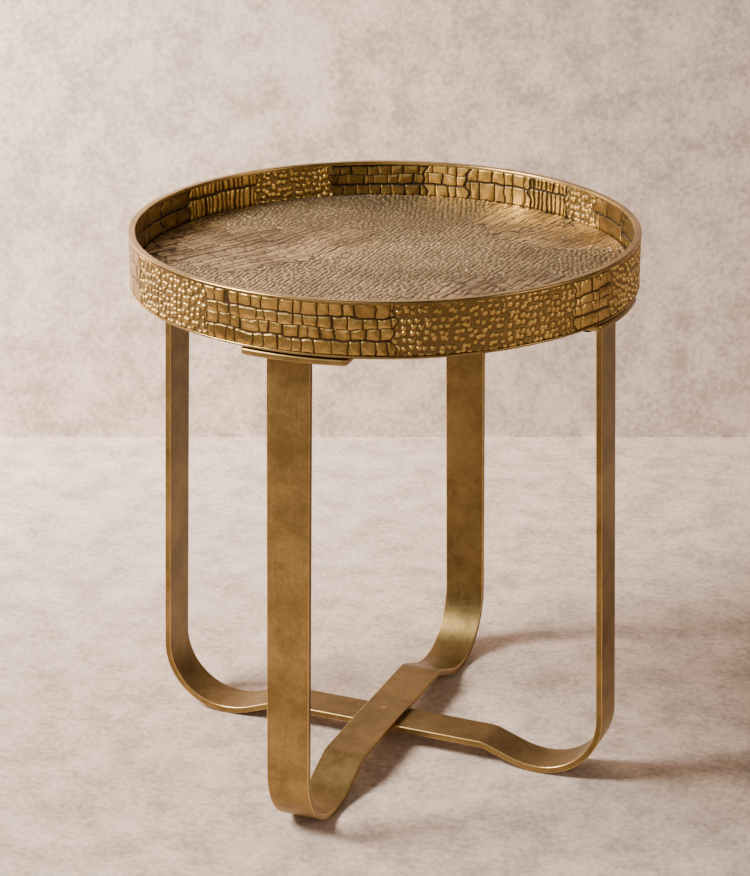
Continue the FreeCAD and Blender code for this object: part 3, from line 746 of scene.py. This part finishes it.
class TrayTableColours(bpy.types.PropertyGroup):
    """Colours of the metal and of the stage."""
    brass_light: colour("Light Brass", (0.60, 0.385, 0.115), "Raised scales where rubbed")
    brass_dark: colour("Dark Brass", (0.31, 0.193, 0.054), "Raised scales where dull")
    patina: colour("Patina", (0.070, 0.038, 0.011), "Grooves of the wall")
    floor_light: colour("Light Floor", (0.74, 0.570, 0.340), "Tarnished floor where rubbed")
    floor_dark: colour("Dark Floor", (0.31, 0.225, 0.120), "Tarnished floor where dull")
    floor_patina: colour("Floor Patina", (0.095, 0.062, 0.032), "Grooves of the floor")
    bar_light: colour("Light Bar", (0.40, 0.268, 0.098), "Flat bar where rubbed")
    bar_dark: colour("Dark Bar", (0.215, 0.138, 0.046), "Flat bar where dull")
    trim: colour("Trim", (0.52, 0.350, 0.125), "Rim cap and base bead")
    stage: colour("Stage", (0.55, 0.415, 0.325), "Floor and backdrop")


class TrayTableStage(bpy.types.PropertyGroup):
    """The camera and the room."""
    turn: angle("Camera Turn", 22.46, "Turn of the camera round the table")
    tilt: angle("Camera Tilt", 20.81, "How far the camera looks down")
    away: length("Camera Away", 2.164, "Camera to the table, level")
    height: length("Camera Height", 1.129, "Camera above the floor")
    aside: length("Camera Aside", -0.0087, "Camera to the side of the table's middle")
    lens: bpy.props.FloatProperty(name="Lens", default=102.58, subtype="DISTANCE_CAMERA",
                                  description="Focal length")
    wall: length("Wall", 0.81, "Table to the backdrop, level")


# ---------------------------------------------------------------- operators

def placed(thing, nodes, slot):
    """Rides a finished piece on the table and has it stand for its CAD nodes."""
    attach(thing, BODY)
    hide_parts(*nodes)
    return thing


def finish_nodes(names, material):
    """Gives CAD nodes that keep their own mesh a material."""
    for name in names:
        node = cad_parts[name]
        node.data.materials.clear()
        node.data.materials.append(material)


def legs(suffix):
    return [f"{leg}_{suffix}" for leg in ("right", "rear", "left", "front")]


class PieceOperator(bpy.types.Operator):
    """Base of the operators that make pieces."""
    bl_options = {"REGISTER", "UNDO"}

    def execute(self, context):
        scene = context.scene
        self.make(scene.tray_table_sizes, scene.tray_table_colours)
        return {"FINISHED"}


class TRAYTABLE_OT_outer_band(PieceOperator):
    """Embosses the band round the outside of the wall"""
    bl_idname = "tray_table.outer_band"
    bl_label = "Outer Band"

    def make(self, sizes, colours):
        low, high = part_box("outer_band")
        ground = high.x - sizes.relief
        mesh = band_mesh("outer_band", ground, ground - BAND_BACK, low.z, high.z, OUTER_PATCHES,
                         OUTER_GRID, OUTER_SEAM)
        band = new_object("embossed_outer_band", mesh)
        fix_facing(mesh)
        warp, border = 7 * MM, 1.1 * MM
        stamp = (warp, sizes.groove, sizes.pebble_size, border)
        finish = embossed_brass("embossed_outer_brass", colours.brass_light, colours.brass_dark,
                                colours.patina, stamp, 0.9 * sizes.relief)
        Emboss().stamp(band, finish, sizes.relief, stamp)
        placed(band, ["outer_band"], "embossed_outer_brass")


class TRAYTABLE_OT_inner_band(PieceOperator):
    """Embosses the band round the inside of the wall"""
    bl_idname = "tray_table.inner_band"
    bl_label = "Inner Band"

    def make(self, sizes, colours):
        ground = inner_radius("inner_band") + sizes.relief
        low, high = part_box("inner_band")
        mesh = band_mesh("inner_band", ground, ground + BAND_BACK, low.z, high.z, INNER_PATCHES,
                         INNER_GRID, INNER_SEAM)
        band = new_object("embossed_inner_band", mesh)
        fix_facing(mesh)
        warp, border = 6 * MM, 1.1 * MM
        stamp = (warp, sizes.groove, sizes.pebble_size, border)
        # Painted shade: the inside of the wall gets darker copies of the outer band's colours and
        # patina.
        finish = embossed_brass("embossed_inner_brass", shaded(colours.brass_light, 0.95),
                                shaded(colours.brass_dark, 0.85), shaded(colours.patina, 0.6),
                                stamp, 0.9 * sizes.relief)
        Emboss().stamp(band, finish, sizes.relief, stamp)
        placed(band, ["inner_band"], "embossed_inner_brass")


def inner_radius(node):
    """Smallest distance of a CAD node's mesh from the table's middle line."""
    return min(math.hypot(v.co.x, v.co.y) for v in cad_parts[node].data.vertices)


class TRAYTABLE_OT_floor_sheet(PieceOperator):
    """Embosses the sheet of the tray's floor"""
    bl_idname = "tray_table.floor_sheet"
    bl_label = "Floor Sheet"

    def make(self, sizes, colours):
        low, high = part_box("floor_sheet")
        mesh = disc_mesh("floor_sheet", high.x, low.z, high.z - sizes.floor_relief,
                         FLOOR_PATCHES, FLOOR_GRID)
        sheet = new_object("embossed_floor_sheet", mesh)
        warp, border = 12 * MM, 1.0 * MM
        stamp = (warp, sizes.groove, sizes.floor_pebble_size, border)
        finish = embossed_brass("embossed_floor_brass", colours.floor_light, colours.floor_dark,
                                colours.floor_patina, stamp, 0.8 * sizes.floor_relief)
        Emboss().stamp(sheet, finish, sizes.floor_relief, stamp)
        placed(sheet, ["floor_sheet"], "embossed_floor_brass")


class TRAYTABLE_OT_trim(PieceOperator):
    """Makes the rim cap and the base bead"""
    bl_idname = "tray_table.trim"
    bl_label = "Rim Cap and Base Bead"

    def make(self, sizes, colours):
        bead_edge, fine = 0.7 * MM, 0.2 * MM
        finish = burnished_brass("burnished_brass", colours)
        for node, radii, slot in (
            ("rim_cap", (sizes.trim_edge, sizes.trim_edge, fine, fine), "cap_brass"),
            ("base_bead", (bead_edge, fine, fine, bead_edge), "bead_brass"),
        ):
            low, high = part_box(node)
            mesh = ring_mesh(node, inner_radius(node), high.x, low.z, high.z, radii)
            mesh.materials.append(finish)
            placed(new_object(f"burnished_{node}", mesh), [node], slot)


class TRAYTABLE_OT_leg_bars(PieceOperator):
    """Bends the two flat bars, which have no hole for the rivet"""
    bl_idname = "tray_table.leg_bars"
    bl_label = "Leg Bars"

    def make(self, sizes, colours):
        into_plate = 0.15 * MM
        for node, outwards, across, rise in (
            ("lower_leg_bar", Vector((1, 0, 0)), Vector((0, 1, 0)), sizes.lower_rise),
            ("upper_leg_bar", Vector((0, 1, 0)), Vector((-1, 0, 0)), sizes.upper_rise),
        ):
            low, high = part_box(node)
            middle_top = self.middle_top(node)
            line, headings = bar_line(sizes, low.z, middle_top - sizes.bar_thickness,
                                      high.z + into_plate, max(high.x, high.y), math.degrees(rise))
            other = line[-2::-1] * [-1, 1]
            other_headings = -headings[-2::-1] - 2 * math.pi
            line = np.concatenate([line, other])
            headings = np.concatenate([headings, other_headings])
            width = min(high.x, high.y) * 2
            mesh = self.swept(node, line, headings, outwards, across, width, sizes)
            mesh.materials.append(bar_brass(f"{node}_brass", colours))
            placed(new_object(f"bent_{node}", mesh), [node], "leg_brass")

    @staticmethod
    def middle_top(node):
        """Height of the top of a bar's raised middle."""
        near = 10 * MM
        return max(v.co.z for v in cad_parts[node].data.vertices
                   if math.hypot(v.co.x, v.co.y) < near)

    @staticmethod
    def swept(name, line, headings, outwards, across, width, sizes):
        outwards, across = np.array(outwards), np.array(across)
        origins = line[:, :1] * outwards + line[:, 1:] * np.array(UP)
        normals = (-np.sin(headings)[:, None] * outwards + np.cos(headings)[:, None] * np.array(UP))
        steps = np.linalg.norm(np.diff(line, axis=0), axis=1)
        along = np.concatenate([[0], np.cumsum(steps)])
        section = rounded_rectangle(width, sizes.bar_thickness, [sizes.bar_edge] * 4)
        return sweep(name, origins, np.tile(across, (len(line), 1)), normals, section, along)


class TRAYTABLE_OT_small_pieces(PieceOperator):
    """Finishes the plates, welds, screws, inserts, rivet, pads and the wooden pieces"""
    bl_idname = "tray_table.small_pieces"
    bl_label = "Small Pieces"

    def make(self, sizes, colours):
        finish_nodes(legs("mounting_plate"), plain_brass("plate_brass", colours, 1.1))
        self.rivet(plain_brass("rivet_brass", colours, 0.9))
        finish_nodes(legs("weld_bead"), plain_brass("braze_metal", colours, 0.7))
        finish_nodes(legs("threaded_inserts"), plain_brass("insert_brass", colours, 1.3))
        finish_nodes(legs("plate_screws"), black_steel())
        finish_nodes(legs("floor_pad"), pad_rubber())
        finish_nodes(["rim_hoop"], bent_plywood())
        finish_nodes(["core_board"], stained_board())

    @staticmethod
    def rivet(finish):
        """A rivet with a domed head below and its hammered end just proud of the upper bar."""
        low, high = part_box("cross_rivet")
        shank, head = 4 * MM, high.x
        proud, end_round = 0.35 * MM, 0.4 * MM
        head_height = 3.5 * MM
        dome = np.linspace(0, math.pi / 2, 9)
        end = [(shank * math.sin(a), high.z - end_round + (end_round + proud) * math.cos(a))
               for a in dome]
        crown = [(head * math.cos(a), low.z + head_height - head_height * math.sin(a))
                 for a in dome]
        profile = np.array(end + [(shank, low.z + head_height)] + crown)
        mesh = lathe("cross_rivet", profile, 64)
        mesh.materials.append(finish)
        placed(new_object("hammered_cross_rivet", mesh), ["cross_rivet"], "rivet_brass")


class TRAYTABLE_OT_stage(bpy.types.Operator):
    """Sets the floor, the backdrop, the lights and the camera"""
    bl_idname = "tray_table.stage"
    bl_label = "Stage"
    bl_options = {"REGISTER", "UNDO"}

    def execute(self, context):
        stage, colours = context.scene.tray_table_stage, context.scene.tray_table_colours
        forwards = Vector((-math.sin(stage.turn), math.cos(stage.turn), 0))
        sideways = Vector((math.cos(stage.turn), math.sin(stage.turn), 0))
        self.room(forwards, sideways, stage.wall, colours.stage)
        self.lights(forwards, sideways)
        self.camera(context.scene, forwards, sideways, stage)
        return {"FINISHED"}

    @staticmethod
    def room(forwards, sideways, wall, colour):
        reach, rise, mottling = 6.0, 4.0, 22.0
        foot = forwards * wall
        for name, corners in (
            ("studio_floor", [foot - sideways * reach, foot - sideways * reach - forwards * reach * 2,
                              foot + sideways * reach - forwards * reach * 2, foot + sideways * reach]),
            ("studio_wall", [foot - sideways * reach, foot + sideways * reach,
                             foot + sideways * reach + UP * rise, foot - sideways * reach + UP * rise]),
        ):
            mesh = bpy.data.meshes.new(name)
            mesh.from_pydata([tuple(corner) for corner in corners], [], [(0, 1, 2, 3)])
            mesh.materials.append(studio_plaster(name, colour, mottling))
            new_object(name, mesh)

    @staticmethod
    def lights(forwards, sideways):
        middle = Vector((0, 0, 0.35))
        left = forwards * 0.8 - sideways * 1.0 + UP * 0.7
        for name, place, aim, size, spread, power, tint in (
            ("key_light", -forwards * 0.3 - sideways * 1.5 + UP * 1.65, middle, 0.7, 130, 66,
             (1.0, 0.97, 0.94)),
            ("wash_light", forwards * 0.2 - sideways * 1.6 + UP * 1.3, left, 0.7, 75, 42,
             (1.0, 0.97, 0.94)),
            ("fill_light", -forwards * 0.9 + sideways * 1.8 + UP * 0.9, middle, 1.0, 60, 2,
             (1.0, 0.84, 0.66)),
            ("front_light", -forwards * 2.2 - sideways * 0.9 + UP * 1.3, middle, 1.4, 180, 10,
             (1.0, 0.95, 0.90)),
        ):
            light = bpy.data.lights.new(name, "AREA")
            light.shape, light.size, light.energy, light.color = "SQUARE", size, power, tint
            light.spread = math.radians(spread)
            lamp = bpy.data.objects.new(name, light)
            lamp.location = place
            lamp.rotation_euler = (aim - place).to_track_quat("-Z", "Y").to_euler()
            bpy.context.scene.collection.objects.link(lamp)
        world = bpy.data.worlds.new("studio_world")
        world.use_nodes = True
        background = world.node_tree.nodes["Background"]
        background.inputs["Color"].default_value = (1.0, 0.91, 0.82, 1.0)
        background.inputs["Strength"].default_value = 0.10
        bpy.context.scene.world = world

    @staticmethod
    def camera(scene, forwards, sideways, stage):
        data = bpy.data.cameras.new("camera")
        data.lens = stage.lens
        data.sensor_width = 36.0
        camera = bpy.data.objects.new("camera", data)
        camera.location = sideways * stage.aside - forwards * stage.away + UP * stage.height
        camera.rotation_euler = (math.pi / 2 - stage.tilt, 0, stage.turn)
        scene.collection.objects.link(camera)
        scene.camera = camera


OPERATORS = (
    TRAYTABLE_OT_outer_band, TRAYTABLE_OT_inner_band, TRAYTABLE_OT_floor_sheet, TRAYTABLE_OT_trim,
    TRAYTABLE_OT_leg_bars, TRAYTABLE_OT_small_pieces, TRAYTABLE_OT_stage,
)


class TRAYTABLE_PT_panel(bpy.types.Panel):
    """Lists the pieces of the table and their settings"""
    bl_idname = "TRAYTABLE_PT_panel"
    bl_label = "Tray Table"
    bl_space_type = "VIEW_3D"
    bl_region_type = "UI"
    bl_category = "Tray Table"

    def draw(self, context):
        for operator in OPERATORS:
            self.layout.operator(operator.bl_idname)
        for name in SETTINGS:
            box = self.layout.box()
            settings = getattr(context.scene, name)
            for setting in settings.__annotations__:
                box.prop(settings, setting)


SETTINGS = {
    "tray_table_sizes": TrayTableSizes,
    "tray_table_colours": TrayTableColours,
    "tray_table_stage": TrayTableStage,
}


def register():
    for name, group in SETTINGS.items():
        bpy.utils.register_class(group)
        setattr(bpy.types.Scene, name, bpy.props.PointerProperty(type=group))
    for kind in (*OPERATORS, TRAYTABLE_PT_panel):
        bpy.utils.register_class(kind)


def unregister():
    for kind in reversed((*OPERATORS, TRAYTABLE_PT_panel)):
        bpy.utils.unregister_class(kind)
    for name, group in SETTINGS.items():
        delattr(bpy.types.Scene, name)
        bpy.utils.unregister_class(group)


def main():
    register()
    for operator in OPERATORS:
        space, name = operator.bl_idname.split(".")
        getattr(getattr(bpy.ops, space), name)()


if __name__ == "__main__":
    main()
